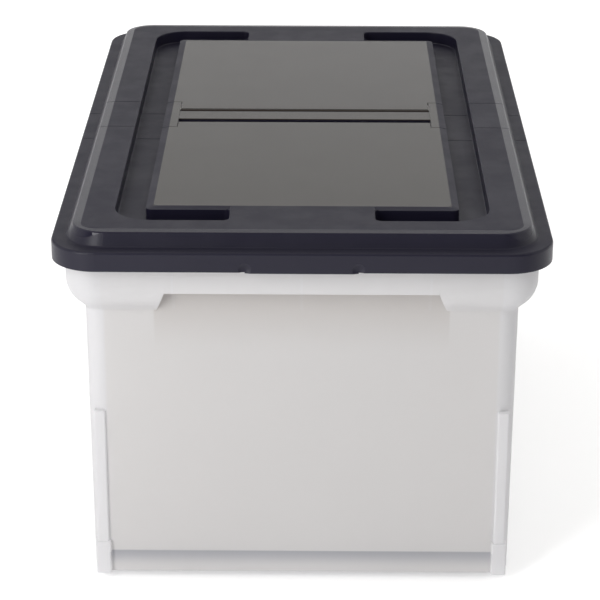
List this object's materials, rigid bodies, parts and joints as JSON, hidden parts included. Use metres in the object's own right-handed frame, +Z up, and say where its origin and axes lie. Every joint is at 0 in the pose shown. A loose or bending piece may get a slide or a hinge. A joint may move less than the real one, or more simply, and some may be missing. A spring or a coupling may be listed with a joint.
{
  "type": "stackable storage bin",
  "caption": "Long translucent tub with a dark split lid: a hinge bar crosses the lid and carries two flaps, and C-shaped channels in the lid seat the base rails of a bin stacked on top.",
  "frame": {"origin": "on the floor under the middle of the bin", "axes": "+Z up, Y along the bin's length with the front flap at -Y, X across its width"},
  "size_m": [0.362, 0.584, 0.2843],
  "materials": {
    "translucent_tub": "frosted translucent moulded polypropylene",
    "dark_lid": "near-black navy moulded polypropylene, fine grain with smoother centre panels"
  },
  "bodies": {
    "tub": {"bin_tub": "translucent_tub"},
    "bar": {"hinge_bar": "dark_lid"},
    "front": {"front_flap": "dark_lid"},
    "rear": {"rear_flap": "dark_lid"}
  },
  "joints": [
    {"name": "lid_lift", "type": "slide", "parent": "tub", "child": "bar", "axis": [0, 0, 1], "range_m": [0, 0.06]},
    {"name": "front_flap_hinge", "type": "hinge", "parent": "bar", "child": "front", "pos_m": [0, -0.021, 0.2809], "axis": [-1, 0, 0], "range_deg": [0, 93]},
    {"name": "rear_flap_hinge", "type": "hinge", "parent": "bar", "child": "rear", "pos_m": [0, 0.0152, 0.2809], "axis": [1, 0, 0], "range_deg": [0, 93]}
  ]
}
